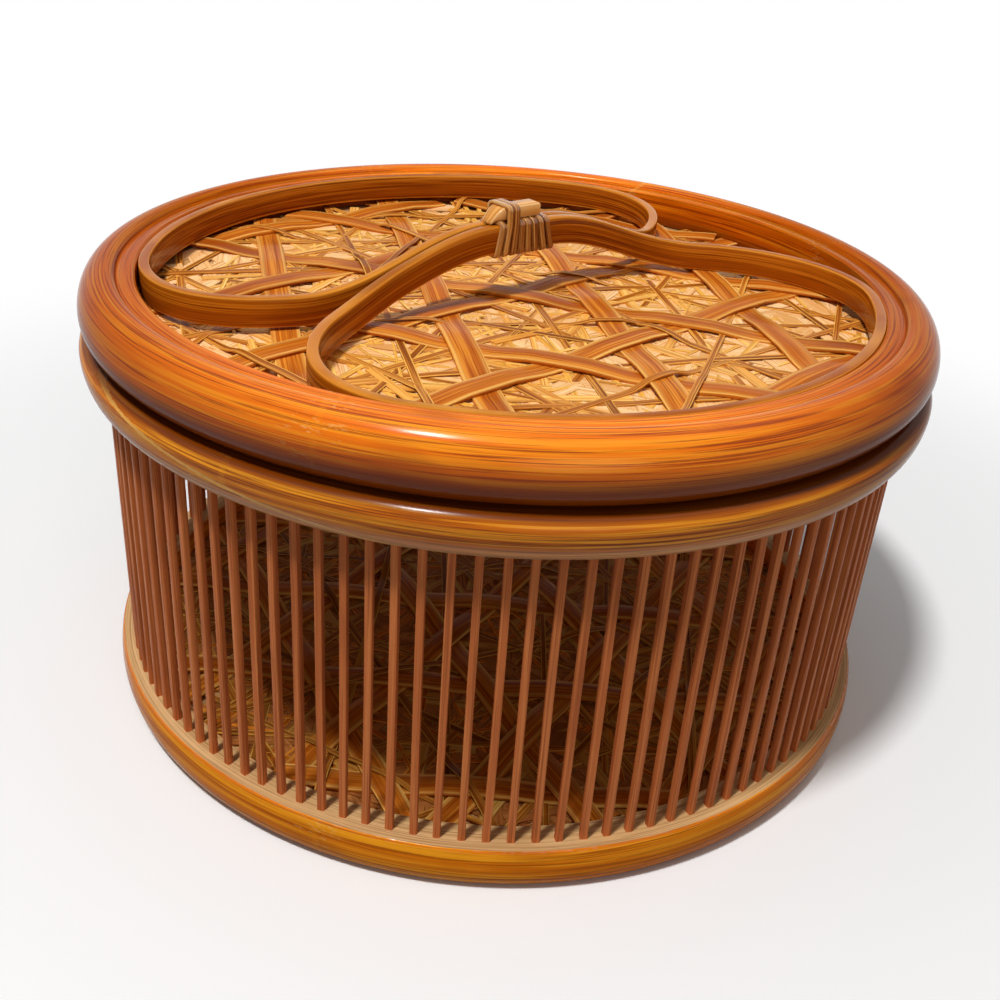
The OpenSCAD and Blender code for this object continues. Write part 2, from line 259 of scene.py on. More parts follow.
# %% Finish helpers
def new_finish(name):
    material = bpy.data.materials.new(name)
    material.use_nodes = True
    return material, material.node_tree, material.node_tree.nodes["Principled BSDF"]


def set_surface(tree, shader, colour, roughness, height, strength, gloss=0.3):
    """Wires colour, roughness and a bump into the shader. The gloss is the same all over."""
    tree.links.new(colour, shader.inputs["Base Color"])
    fill(tree, shader.inputs["Roughness"], roughness)
    bump = tree.nodes.new("ShaderNodeBump")
    bump.inputs["Distance"].default_value = 0.25 * mm
    bump.inputs["Strength"].default_value = strength
    tree.links.new(height, bump.inputs["Height"])
    tree.links.new(bump.outputs["Normal"], shader.inputs["Normal"])
    shader.inputs["Specular IOR Level"].default_value = gloss


def rubbed_chips(tree, grain, near_mark):
    """Small specks along the fibre where the lacquer has chipped, near the stem's nodes and the joint."""
    specks = stretched_noise(tree, grain, (500, 2000, 2000), detail=3.0)
    patches = stretched_noise(tree, grain, (120, 300, 300), detail=1.0)
    where = calc(tree, "MULTIPLY", near_mark, ramp(tree, patches, 0.45, 0.60))
    return calc(tree, "MULTIPLY", ramp(tree, specks, 0.55, 0.63), where)


STEM_JOINT = 0.23
BARE_CHIP, BARE_JOINT = (0.95, 0.55, 0.16, 1), (0.95, 0.50, 0.10, 1)
WORN_COAT = 0.01


def hoop_finish(
    name, joint, slant, middle, pale, body, deep, coat, polish,
    joint_share=0.3, zones=(), spacing=STEM_JOINT, lip=None,
):
    """Lacquer on a lath that is bent round the box, with its ends joined at an angle in degrees.

    Zones are pairs of a mask and the tint it lays over the rest. Above the lip, if there is one,
    the coat has run into beads.
    """
    material, tree, shader = new_finish(name)
    lath_grain = use_group(
        tree, bent, Joint=math.radians(joint), Slant=slant, Middle=middle, Radius=upper_r, Spacing=spacing
    )
    grain = use_group(tree, fibre, Grain=lath_grain["Grain"], Tone=0.5, Pale=pale, Body=body, Deep=deep)
    colour = grain["Color"]
    chips = rubbed_chips(tree, lath_grain["Grain"], lath_grain["Near mark"])
    marks = (
        (chips, 0.5, BARE_CHIP),
        (lath_grain["Node line"], 0.2, pale),
        (lath_grain["Joint line"], joint_share, BARE_JOINT),
    )
    for mark, share, tint in marks:
        colour = blend(tree, calc(tree, "MULTIPLY", mark, share), colour, tint)
    for zone, tint in zones:
        colour = blend(tree, zone(tree), colour, tint)
    roughness = ramp(tree, grain["Streak"], 0.3, 0.8, 0.10, 0.20)
    roughness = calc(tree, "ADD", roughness, calc(tree, "MULTIPLY", chips, 0.2))
    hollows = calc(tree, "ADD", lath_grain["Joint line"], chips)
    lines = calc(tree, "SUBTRACT", lath_grain["Node line"], hollows)
    height = calc(tree, "ADD", grain["Height"], calc(tree, "MULTIPLY", lines, 0.4))
    set_surface(tree, shader, colour, roughness, height, 0.35, gloss=0.02)
    x, _, z = split_vector(tree, object_place(tree))
    sideways = calc(tree, "ABSOLUTE", x)
    coat_share = ramp(tree, sideways, 0.45 * upper_r, 0.85 * upper_r, coat, WORN_COAT)
    if lip:
        beads = ramp(tree, stretched_noise(tree, lath_grain["Grain"], (900, 1500, 1500)), 0.45, 0.60)
        on_lip = calc(tree, "MULTIPLY", beads, ramp(tree, z, lip, lip + 0.6 * mm))
        coat_share = calc(tree, "MAXIMUM", coat_share, on_lip)
    tree.links.new(coat_share, shader.inputs["Coat Weight"])
    shader.inputs["Coat Roughness"].default_value = polish
    return material


def lid_painted_shade_and_sides(tree):
    """Painted shade on the lower part of the lid ring. The ring is also made darker towards its left and
    right.
    """
    x, _, z = split_vector(tree, object_place(tree))
    # painted shade: the ring darkens towards its lower edge
    under = ramp(tree, z, lid_z + 4 * mm, lid_z + 10.5 * mm, 0.9, 0.0)
    sides = ramp(tree, calc(tree, "ABSOLUTE", x), 0.2 * lid_r, 1.0 * lid_r, 0.0, 0.6)
    return calc(tree, "MAXIMUM", under, sides)


def hoop_painted_shade(tree):
    """Painted shade on the hoop: in the gap below the lid, and on its right side."""
    x, _, z = split_vector(tree, object_place(tree))
    shade_in_gap = ramp(tree, z, box_top - 2.2 * mm, box_top - 0.4 * mm, 0.0, 0.9)
    return calc(tree, "MAXIMUM", shade_in_gap, ramp(tree, x, 0.3 * upper_r, 0.9 * upper_r, 0.0, 0.4))


def hoop_foot_reflection(tree):
    """A pale painted reflection of the floor on the hoop's lower edge."""
    _, _, z = split_vector(tree, object_place(tree))
    return ramp(tree, z, upper_z + 1.2 * mm, upper_z + 4.8 * mm, 0.55, 0.0)


def lath_value(tree, name):
    """A value that a piece carries: its tone, or how near an edge or a face a point lies, -1 to 1."""
    value = tree.nodes.new("ShaderNodeAttribute")
    value.attribute_name = name
    return value.outputs["Fac"]


TONE_DEPTH = 0.05


def strip_grain(tree):
    """Grain of a lath from its own map: along it, across it, and a different depth for each lath."""
    along, across, _ = split_vector(tree, tree.nodes.new("ShaderNodeUVMap").outputs[0])
    tone = lath_value(tree, "tone")
    return vector_of(tree, along, across, calc(tree, "MULTIPLY", tone, TONE_DEPTH)), tone


def strip_finish(
    name, pale, body, deep, edge_wear_and_shade, edge=(0.90, 1.0), corner=False, rough=(0.18, 0.34), bump=0.3, gloss=0.05
):
    """A split strip: streaked on its face, and given its cut colour along its upper edges or at all its
    corners. That colour is pale wear on the wide, fine, handle and tail strips, and dark painted shade in
    the gaps on the shavings, the lid's slivers, the short strips and the cane.
    """
    material, tree, shader = new_finish(name)
    grain_vector, tone = strip_grain(tree)
    grain = use_group(tree, fibre, Grain=grain_vector, Tone=tone, Pale=pale, Body=body, Deep=deep)
    near_edge = ramp(tree, calc(tree, "ABSOLUTE", lath_value(tree, "edge")), *edge)
    if corner:
        near_corner = ramp(tree, calc(tree, "ABSOLUTE", lath_value(tree, "face")), 0.70, 1.0, 0.0, 0.85)
        wear_and_shade = calc(tree, "MAXIMUM", near_corner, ramp(tree, grain["Streak"], 0.40, 0.65, 0.0, 0.65))
    else:
        upper = ramp(tree, lath_value(tree, "face"), -0.2, 0.7)
        wear_and_shade = calc(tree, "MULTIPLY", upper, ramp(tree, grain["Streak"], 0.38, 0.62, 0.15, 1.0))
    colour = blend(tree, calc(tree, "MULTIPLY", near_edge, wear_and_shade), grain["Color"], edge_wear_and_shade)
    roughness = ramp(tree, grain["Streak"], 0.3, 0.8, *rough)
    set_surface(tree, shader, colour, roughness, grain["Height"], bump, gloss=gloss)
    return material


# %% The finishes of this box
def darker(palette, share):
    """The same bamboo made darker, as painted shade."""
    return {name: (*(share * c for c in colour[:3]), 1) for name, colour in palette.items()}


WEAVE = {
    "pale": (0.76, 0.26, 0.026, 1), "body": (0.53, 0.125, 0.009, 1), "deep": (0.30, 0.052, 0.004, 1),
    "edge_wear_and_shade": (0.98, 0.55, 0.13, 1),
}
FINE = {
    "pale": (0.76, 0.31, 0.048, 1), "body": (0.45, 0.125, 0.013, 1), "deep": (0.18, 0.036, 0.005, 1),
    "edge_wear_and_shade": (0.95, 0.50, 0.09, 1),
}
# The short strips, slivers and shavings have a cut colour darker than their body: painted shade along their
# edges, in the gaps between the pieces.
SHORT = {
    "pale": (1.00, 0.60, 0.16, 1), "body": (0.92, 0.42, 0.070, 1), "deep": (0.56, 0.17, 0.020, 1),
    "edge_wear_and_shade": (0.60, 0.22, 0.03, 1),
}
SLIVER = {
    "pale": (1.00, 0.62, 0.16, 1), "body": (0.92, 0.45, 0.07, 1), "deep": (0.60, 0.24, 0.03, 1),
    "edge_wear_and_shade": (0.50, 0.20, 0.04, 1),
}
GROUND = {
    "pale": (1.00, 0.68, 0.36, 1), "body": (0.95, 0.54, 0.22, 1), "deep": (0.72, 0.32, 0.08, 1),
    "edge_wear_and_shade": (0.46, 0.20, 0.06, 1),
}
# The floor's ground colours are darker than the lid's: painted shade inside the box. Its dark cut colour
# paints shade along the edges of its shavings.
FLOOR = {
    "pale": (0.52, 0.20, 0.055, 1), "body": (0.42, 0.140, 0.032, 1), "deep": (0.25, 0.070, 0.013, 1),
    "edge_wear_and_shade": (0.24, 0.07, 0.014, 1),
}
# The hoop's first zone is painted shade in the gap below the lid and on its right side.
hoop_lacquer = hoop_finish(
    "hoop_lacquer", 237.6, 92.7, (upper_z + box_top) / 2, joint_share=0.8, spacing=0.31,
    # The second zone is a pale painted reflection of the floor along the hoop's lower edge.
    zones=((hoop_painted_shade, (0.12, 0.020, 0.001, 1)), (hoop_foot_reflection, (0.74, 0.43, 0.24, 1))),
    pale=(0.92, 0.35, 0.016, 1), body=(0.66, 0.155, 0.003, 1), deep=(0.22, 0.036, 0.002, 1),
    coat=0.24, polish=0.19,
)
base_lacquer = hoop_finish(
    "base_lacquer", 70, 19.0, base_top / 2,
    pale=(1.00, 0.38, 0.014, 1), body=(0.84, 0.215, 0.003, 1), deep=(0.45, 0.088, 0.003, 1),
    coat=0.04, polish=0.2, lip=base_top - 0.9 * mm,
)
# The lid's zone is painted shade on the ring's lower part, and it also darkens the ring towards its left and
# right.
lid_lacquer = hoop_finish(
    "lid_lacquer", 71, 12.0, (lid_z + lid_top) / 2, zones=((lid_painted_shade_and_sides, (0.17, 0.025, 0.001, 1)),),
    pale=(1.00, 0.31, 0.010, 1), body=(0.90, 0.180, 0.002, 1), deep=(0.32, 0.041, 0.002, 1),
    coat=0.26, polish=0.18,
)
weave_bamboo = strip_finish("weave_bamboo", **WEAVE, edge=(0.52, 1.04), gloss=0.03)
fine_bamboo = strip_finish("fine_bamboo", **FINE, edge=(0.60, 0.85), gloss=0.03)
short_bamboo = strip_finish("short_bamboo", **SHORT, edge=(0.75, 1.0), gloss=0.03)
sliver_bamboo = strip_finish("sliver_bamboo", **SLIVER, edge=(0.75, 1.0), gloss=0.03)
ground_bamboo = strip_finish("ground_bamboo", **GROUND, rough=(0.45, 0.65), bump=0.5)
# The floor's finishes are darker than the lid's, as painted shade inside the box under the lid.
floor_weave = strip_finish("floor_weave_bamboo", **darker(WEAVE, 0.85), edge=(0.52, 1.04), gloss=0.02)
floor_fine = strip_finish("floor_fine_bamboo", **darker(FINE, 0.75), edge=(0.60, 0.85), gloss=0.02)
floor_short = strip_finish("floor_short_bamboo", **darker(SHORT, 0.6), edge=(0.75, 1.0), gloss=0.02)
floor_sliver = strip_finish("floor_sliver_bamboo", **WEAVE, edge=(0.75, 1.0), gloss=0.02)
floor_ground = strip_finish("floor_ground_bamboo", **FLOOR, rough=(0.45, 0.65), bump=0.5, gloss=0.02)
strip_lacquer = strip_finish(
    "strip_lacquer",
    pale=(0.58, 0.175, 0.009, 1), body=(0.39, 0.090, 0.003, 1), deep=(0.19, 0.034, 0.002, 1),
    edge_wear_and_shade=(0.92, 0.38, 0.035, 1), edge=(0.80, 0.95), corner=True, rough=(0.12, 0.24), bump=0.25, gloss=0.06,
)
# The cane's cut colour is dark: painted shade in the grooves between its turns.
cane = strip_finish(
    "cane",
    pale=(0.72, 0.36, 0.09, 1), body=(0.38, 0.120, 0.018, 1), deep=(0.11, 0.026, 0.005, 1),
    edge_wear_and_shade=(0.16, 0.045, 0.008, 1), edge=(0.62, 0.95), rough=(0.10, 0.20), bump=0.3, gloss=0.6,
)
tail_bamboo = strip_finish(
    "tail_bamboo",
    pale=(0.92, 0.48, 0.12, 1), body=(0.72, 0.29, 0.045, 1), deep=(0.38, 0.11, 0.014, 1),
    edge_wear_and_shade=(0.92, 0.58, 0.24, 1), edge=(0.70, 0.95), corner=True, rough=(0.14, 0.26), bump=0.25, gloss=0.2,
)


def rod_finish():
    """Dull stained rods: the grain runs straight up."""
    material, tree, shader = new_finish("rod_bamboo")
    x, y, z = split_vector(tree, object_place(tree))
    grain = use_group(
        tree, fibre, Grain=vector_of(tree, z, x, y), Tone=lath_value(tree, "tone"),
        Pale=(0.72, 0.225, 0.065, 1), Body=(0.60, 0.162, 0.044, 1), Deep=(0.38, 0.092, 0.025, 1),
    )
    roughness = ramp(tree, grain["Streak"], 0.3, 0.8, 0.42, 0.62)
    set_surface(tree, shader, grain["Color"], roughness, grain["Height"], 0.4, gloss=0.12)
    return material


def bare_finish():
    """Unlacquered flats of the hoops, where the rods are planted."""
    material, tree, shader = new_finish("bare_bamboo")
    lath_grain = use_group(tree, bent, Joint=1.0, Slant=0.0, Middle=0.0, Radius=upper_r, Spacing=STEM_JOINT)
    grain = use_group(
        tree, fibre, Grain=lath_grain["Grain"], Tone=0.5,
        Pale=(0.74, 0.46, 0.21, 1), Body=(0.62, 0.36, 0.145, 1), Deep=(0.40, 0.20, 0.07, 1),
    )
    roughness = ramp(tree, grain["Streak"], 0.3, 0.8, 0.55, 0.75)
    set_surface(tree, shader, grain["Color"], roughness, grain["Height"], 0.5)
    return material


rod_bamboo = rod_finish()
bare_bamboo = bare_finish()
print(len(bpy.data.materials), "materials so far")

# %% [markdown]
# ## From bmesh to a piece that rides on the box
# Every piece ends the same way: its mesh becomes an object at the origin, gets its finishes,
# takes the place of the plain solids, and rides on the box or on the lid.

# %% Finish a piece
SMOOTH_ANGLE = math.radians(40)


def make_piece(name, bm, body, finishes, slot, *stands_for):
    """Makes a bmesh an object that rides on a body and stands for the solids that are named."""
    mesh = bpy.data.meshes.new(name)
    bm.to_mesh(mesh)
    bm.free()
    for finish in finishes:
        mesh.materials.append(finish)
    mesh.shade_smooth()
    mesh.set_sharp_from_angle(angle=SMOOTH_ANGLE)
    piece = bpy.data.objects.new(name, mesh)
    bpy.context.scene.collection.objects.link(piece)
    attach(piece, body)
    if stands_for:
        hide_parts(*stands_for)
    print(name, len(mesh.polygons), "faces")
    return piece


# %% [markdown]
# ## Hoops and rings
# A hoop could be cut from a cylinder, but it is quicker to draw half of its section and spin it.
# The corners are beveled while the section is still one flat face, and then only its outline is spun.

# %% Spin a section into a ring
RING_STEPS = 240


def arc(centre, size, start, stop, count):
    """Points on part of an ellipse in the section's plane, angles in degrees."""
    angles = [math.radians(start + (stop - start) * i / count) for i in range(count + 1)]
    return [(centre[0] + size[0] * math.cos(a), centre[1] + size[1] * math.sin(a)) for a in angles]


def turned(section, eased=(), ease=0.4 * mm):
    """Spins a closed section of (radius, height) points. The points numbered in eased get a small round."""
    bm = bmesh.new()
    corners = [bm.verts.new((r, 0, z)) for r, z in section]
    bm.faces.new(corners)
    if eased:
        bmesh.ops.bevel(
            bm, geom=[corners[i] for i in eased], offset=ease, affect="VERTICES",
            segments=3, profile=0.5, material=-1,
        )
    bmesh.ops.delete(bm, geom=list(bm.faces), context="FACES_ONLY")
    bmesh.ops.spin(
        bm, geom=bm.verts[:] + bm.edges[:], cent=(0, 0, 0), axis=(0, 0, 1), angle=2 * math.pi,
        steps=RING_STEPS, use_merge=True,
    )
    bmesh.ops.remove_doubles(bm, verts=bm.verts[:], dist=1e-6)
    bmesh.ops.recalc_face_normals(bm, faces=bm.faces[:])
    return bm


def bare_flat(bm, up):
    """Gives the level faces that look up (1) or down (-1) the second finish."""
    bm.normal_update()
    for face in bm.faces:
        if face.normal.z * up > 0.95:
            face.material_index = 1


# %% The two hoops of the box
def round_face(outer, low, widest, high, low_in, high_in):
    """A hoop's outside in section, from its lower edge by its widest line to its upper edge."""
    lower = arc((outer - low_in, widest), (low_in, widest - low), -90, 0, 14)
    return lower + arc((outer - high_in, widest), (high_in, high - widest), 0, 90, 20)[1:]


upper_shoulder, upper_bulge = 6.8 * mm, 3.8 * mm
face = round_face(upper_r, upper_z, upper_z + upper_shoulder, box_top, upper_bulge, upper_bulge)
section = [(inner_r, upper_z), *face, (inner_r, box_top)]
hoop = turned(section, eased=(0, len(section) - 1), ease=0.8 * mm)
bare_flat(hoop, -1)
make_piece("upper_hoop_bent", hoop, "box", [hoop_lacquer, bare_bamboo], "hoop_lacquer", "upper_hoop")

base_shoulder, base_foot, base_lip = 6 * mm, 3.4 * mm, 1 * mm
rebate_r = floor_r + 0.1 * mm
section = [
    (rebate_r, base_z),
    *round_face(base_r, base_z, base_z + base_shoulder, base_top, base_foot, base_lip),
    (base_inner_r, base_top),
    (base_inner_r, floor_top),
    (rebate_r, floor_top),
]
hoop = turned(section, eased=(len(section) - 3,), ease=0.8 * mm)
bare_flat(hoop, 1)
make_piece("base_hoop_bent", hoop, "box", [base_lacquer, bare_bamboo], "hoop_lacquer", "base_hoop")

# %% The lid ring
lid_shoulder, lid_foot = 5.7 * mm, 5 * mm
crown_w, ledge_w, ledge_drop, lip_ease = 6.4 * mm, 4.2 * mm, 1.2 * mm, 0.5 * mm
crown_r = lid_inner_r + crown_w
ledge_r, ledge_z = lid_inner_r + ledge_w, lid_top - ledge_drop
ring_rebate_r = panel_r + 0.1 * mm
groove = 0.3 * mm
section = [
    (ring_rebate_r, lid_z),
    *round_face(lid_r, lid_z, lid_z + lid_shoulder, lid_top, lid_foot, lid_r - crown_r),
    *arc((crown_r, ledge_z), (ledge_r - crown_r, ledge_drop), 90, 0, 8)[1:],
    (ledge_r - groove / 2, ledge_z - groove),
    (ledge_r - 2 * groove, ledge_z),
    (lid_inner_r + lip_ease, ledge_z),
    (lid_inner_r, ledge_z - lip_ease),
    (lid_inner_r, panel_top),
    (ring_rebate_r, panel_top),
]
make_piece("lid_ring_bent", turned(section), "lid", [lid_lacquer], "lid_lacquer", "lid_ring")


# %% The bands that hold the two panels
def band(name, node, body):
    """A bent strip of bare bamboo with eased edges."""
    outer, inner, low, high = place(node)
    section = [(inner, low), (outer, low), (outer, high), (inner, high)]
    ring = turned(section, eased=(0, 1, 2, 3), ease=0.5 * mm)
    make_piece(name, ring, body, [bare_bamboo], "hoop_lacquer", node)


band("lid_band_bent", "lid_band", "lid")
band("floor_band_bent", "floor_band", "box")

# %% [markdown]
# ## Laths
# Weave, handle and cane are all the same thing: a straight split strip that is bent to a path.
# So one helper makes a straight bar from a cube, cuts it into equal lengths, eases its long
# edges, and then carries each cut to its own place on the path.
# The bar keeps a map of how far along and across each point is, and the finishes read it.

# %% Bend a straight bar along a path
def frames_along(points, ups):
    """(point, across, up) at each point of a path, with up made square to the path."""
    frames = []
    last = len(points) - 1
    for i, (point, up) in enumerate(zip(points, ups)):
        run = points[min(i + 1, last)] - points[max(i - 1, 0)]
        run.normalize()
        across = up.cross(run).normalized()
        frames.append((point, across, run.cross(across)))
    return frames


def lath_layers(bm):
    values = bm.verts.layers.float
    return bm.loops.layers.uv["UVMap"], values["tone"], values["edge"], values["face"]


def new_laths():
    """An empty bmesh with the map and the three values that every lath carries."""
    bm = bmesh.new()
    bm.loops.layers.uv.new("UVMap")
    for value in ("tone", "edge", "face"):
        bm.verts.layers.float.new(value)
    return bm


def edges_along(bm, axis, least):
    """The edges of a bar that run along one axis, 0 for x and 2 for z."""
    return [e for e in bm.edges if abs(e.verts[0].co[axis] - e.verts[1].co[axis]) > least]


def join_into(whole, part):
    """Adds one bmesh to another. The part is used up."""
    scratch = bpy.data.meshes.new("scratch")
    part.to_mesh(scratch)
    part.free()
    whole.from_mesh(scratch)
    bpy.data.meshes.remove(scratch)


def add_lath(whole, frames, width, thick, ease=0.0, crown=0.0, tone=0.5, start=0.0, closed=False):
    """Adds one bent bar to a bmesh that new_laths() made."""
    path = frames + [frames[0]] if closed else frames
    count = len(path) - 1
    bar = new_laths()
    uv, tone_layer, edge_layer, face_layer = lath_layers(bar)
    made = bmesh.ops.create_cube(bar, size=1.0)["verts"]
    stretch = Matrix.Translation((count / 2, 0, 0)) @ Matrix.Diagonal((count, width, thick, 1))
    bmesh.ops.transform(bar, verts=made, matrix=stretch)
    lengthwise = edges_along(bar, 0, 0.5)
    if ease:
        bmesh.ops.bevel(
            bar, geom=lengthwise, offset=ease, affect="EDGES", segments=2, profile=0.5, material=-1
        )
        lengthwise = edges_along(bar, 0, 0.5)
    if count > 1:
        bmesh.ops.subdivide_edges(bar, edges=lengthwise, cuts=count - 1, use_grid_fill=True)

    travelled = [start]
    for here, there in zip(path, path[1:]):
        travelled.append(travelled[-1] + (there[0] - here[0]).length)
    for face in bar.faces:
        for loop in face.loops:
            local = loop.vert.co
            loop[uv].uv = (travelled[round(local.x)], local.y)
    for vert in bar.verts:
        local = vert.co.copy()
        side = 2 * local.y / width
        vert[tone_layer] = tone
        vert[edge_layer] = side
        vert[face_layer] = 2 * local.z / thick
        point, across, up = path[round(local.x)]
        rise = crown * (1 - side * side) if local.z > 0 else 0.0
        vert.co = point + local.y * across + (local.z + rise) * up
    if closed:
        caps = [f for f in bar.faces if len(f.verts) > 4]
        bmesh.ops.delete(bar, geom=caps, context="FACES")
        bmesh.ops.remove_doubles(bar, verts=bar.verts[:], dist=1e-6)
    join_into(whole, bar)


UP = Vector((0, 0, 1))

# %% [markdown]
# ## Rods
# The wall is a fence of thin square rods with a round peg at each end. Each was split and
# scraped by hand, so no two stand quite alike: every rod is turned a little, leans a little
# and takes its own depth of stain.

# %% Plant the rods
QUARTER_RODS = 29
ROD_TURN = -1.2
rod_w, rod_bevel = 1.65 * mm, 0.3 * mm
rod_r = upper_r - 6 * mm
chance = random.Random(11)


def planted_rods(quarter):
    """A quarter of the fence, each rod with its own width, lean, bow, turn and depth of stain."""
    bm = bmesh.new()
    tone_layer = bm.verts.layers.float.new("tone")
    for i in range(QUARTER_RODS):
        angle = math.radians(ROD_TURN - 45 + (quarter * QUARTER_RODS + i + 0.5) * 90 / QUARTER_RODS)
        rod = bmesh.new()
        layer = rod.verts.layers.float.new("tone")
        bmesh.ops.create_cube(rod, size=1.0)
        width = rod_w * chance.uniform(0.94, 1.04)
        bmesh.ops.scale(rod, vec=(width, width, upper_z - base_top), verts=rod.verts)
        bmesh.ops.bevel(
            rod, geom=edges_along(rod, 2, mm), offset=rod_bevel, affect="EDGES",
            segments=2, profile=0.5, material=-1,
        )
        bmesh.ops.subdivide_edges(rod, edges=edges_along(rod, 2, mm), cuts=5, use_grid_fill=True)
        lean = chance.uniform(-0.12, 0.12) * mm
        bow = chance.uniform(-0.25, 0.25) * mm
        half = (upper_z - base_top) / 2
        tone = chance.uniform(0.3, 0.65)
        for vert in rod.verts:
            up = vert.co.z / half
            vert.co.y += lean * up + bow * (1 - up * up)
            vert[layer] = tone
        turn = Matrix.Rotation(angle, 4, "Z") @ Matrix.Translation((rod_r, 0, base_top + half))
        turn = turn @ Matrix.Rotation(math.radians(chance.uniform(-7, 7)), 4, "Z")
        bmesh.ops.transform(rod, verts=rod.verts, matrix=turn)
        join_into(bm, rod)
    return bm


for quarter, side in enumerate(("right", "back", "left", "front")):
    fence = planted_rods(quarter)
    make_piece(f"rods_{side}_planted", fence, "box", [rod_bamboo], "rod_bamboo", f"rods_{side}")

# %% [markdown]
# ## The six-eye weave
# Wide strips run in three directions and pass over and under each other, which leaves
# six-sided eyes. Fine strips run from corner to corner of the eyes, short loose strips and
# slivers lie about between them, and below is a bed of shavings on a thin mat.
# All but the mat are laths on different paths.

# %% Wide strips
weave_w, weave_t, weave_pitch, seat = 6.5 * mm, 0.8 * mm, 37 * mm, 0.1 * mm
WEAVE_FLAT = 1.6
weave_step = weave_pitch / math.sin(math.radians(60))
weave_swing = (weave_t + seat) / 2
WEAVE_SETS = ((0, 0.0, 0), (60, 0.0, 1), (120, 0.5, 0))
STAR_SHIFT = (0.0, 0.5, 0.5)
STEP = 2.0 * mm


def strip_height(along, off, beat):
    """Height of a wide strip's underside above its bed, as it goes over and under."""
    crest = off / (2 * math.sin(math.radians(60))) + beat * weave_step / 2
    wave = WEAVE_FLAT * math.cos(2 * math.pi * (along - crest) / weave_step)
    return weave_swing * (1 + min(1, max(-1, wave)))


def turned_point(along, off, angle, z):
    a = math.radians(angle)
    return Vector((along * math.cos(a) - off * math.sin(a), along * math.sin(a) + off * math.cos(a), z))


def wide_strips(turn, weave_set, reach, bed):
    """All strips of one direction, as far as they fit on the panel."""
    angle, start, beat = weave_set
    whole = new_laths()
    rows = int(reach / weave_pitch) + 1
    for row in range(-rows, rows + 1):
        off = (row + start) * weave_pitch
        edge = abs(off) + weave_w / 2
        if edge > reach - weave_w:
            continue
        half = math.sqrt(reach * reach - edge * edge)
        count = math.ceil(2 * half / STEP)
        drift = chance.uniform(-0.5, 0.5) * mm
        points = []
        for i in range(count + 1):
            t = -half + 2 * half * i / count
            z = bed + strip_height(t, off, beat) + weave_t / 2
            points.append(turned_point(t, off + drift * math.sin(3 * t / reach), turn + angle, z))
        frames = frames_along(points, [UP] * len(points))
        width = weave_w * chance.uniform(0.93, 1.02)
        add_lath(
            whole, frames, width, weave_t, ease=0.1 * mm, crown=0.06 * mm,
            tone=chance.random(), start=chance.random(),
        )
    return whole


# %% Fine strips
def height_needed(x, y, turn, parity):
    """How high a fine strip lies above the bed: it clears every second wide strip that it meets."""
    need = 0.0
    for number, (angle, start, beat) in enumerate(WEAVE_SETS):
        a = math.radians(turn + angle)
        along = x * math.cos(a) + y * math.sin(a)
        off = y * math.cos(a) - x * math.sin(a)
        row = round(off / weave_pitch - start)
        middle = (row + start) * weave_pitch
        if abs(off - middle) < weave_w / 2 + 0.3 * mm and (row + number + parity) % 2 == 0:
            need = max(need, strip_height(along, middle, beat) + weave_t)
    return need


def smoothed(values, passes):
    """Each value drawn towards its two neighbours, over and over."""
    for _ in range(passes):
        padded = [values[0], *values, values[-1]]
        values = [(a + 2 * b + c) / 4 for a, b, c in zip(padded, padded[1:], padded[2:])]
    return values


def fine_strip(whole, turn, angle, off, bow, width, thick, reach, bed, parity, lift):
    """One fine strip on a chord of the panel.

    Every fourth rides over some wide strips, and the rest dive into the bed.
    """
    if abs(off) > reach - 4 * mm:
        return
    half = math.sqrt(reach * reach - off * off) - 0.5 * mm
    count = math.ceil(2 * half / STEP)
    flat = []
    for i in range(count + 1):
        t = -half + 2 * half * i / count
        p = turned_point(t, off + bow * (1 - (t / half) ** 2), angle, 0)
        if p.to_2d().length > reach - 0.3 * mm:
            p *= (reach - 0.3 * mm) / p.to_2d().length
        flat.append(p)
    rides = parity % 4 == 0
    need = [height_needed(p.x, p.y, turn, parity // 4) if rides else 0.0 for p in flat]
    need = [max(need[max(i - 1, 0):i + 2]) for i in range(len(need))]
    need = smoothed(need, 2)
    points = []
    phase = chance.uniform(0, 6)
    for i, (p, high) in enumerate(zip(flat, need)):
        near_rim = min(1.0, max(0.0, (reach - p.to_2d().length) / (6 * mm)))
        dive = 0.0 if rides else 0.35 * mm * min(0.0, math.sin(phase + i * STEP / (9 * mm)))
        points.append(Vector((p.x, p.y, bed + lift + dive + thick / 2 + high * (0.6 + 0.4 * near_rim))))
    frames = frames_along(points, [UP] * len(points))
    add_lath(whole, frames, width, thick, tone=chance.random(), start=chance.random())


def fine_strips(turn, reach, bed):
    """Strips in six directions: three beside the wide strips, and three that cross as a star in each eye."""
    whole = new_laths()
    parity = 0
    star_step = weave_step / 2
    for number, (angle, start, _) in enumerate(WEAVE_SETS):
        rows = int(reach / weave_pitch) + 1
        for row in range(-rows, rows + 1):
            parity += 1
            off = (row + start + 0.5) * weave_pitch + chance.uniform(-4, 4) * mm
            fine_strip(
                whole, turn, turn + angle + chance.uniform(-3, 3), off, chance.uniform(-2, 2) * mm,
                chance.uniform(1.3, 2.1) * mm, 0.4 * mm, reach, bed, parity, chance.uniform(0.1, 0.3) * mm,
            )
        rows = int(reach / star_step) + 1
        for row in range(-rows, rows + 1):
            parity += 1
            off = (row + STAR_SHIFT[number]) * star_step + chance.uniform(-3.5, 3.5) * mm
            fine_strip(
                whole, turn, turn + angle + 30 + chance.uniform(-6, 6), off, chance.uniform(-1, 1) * mm,
                chance.uniform(1.1, 2.2) * mm, 0.35 * mm, reach, bed, parity,
                chance.uniform(0.15, 0.45) * mm,
            )
    return whole


# %% Shavings, slivers and short strips
SHAVING_T = 0.28 * mm
DIRECTIONS = (0, 60, 120, 0, 60, 120, 30, 90, 150)


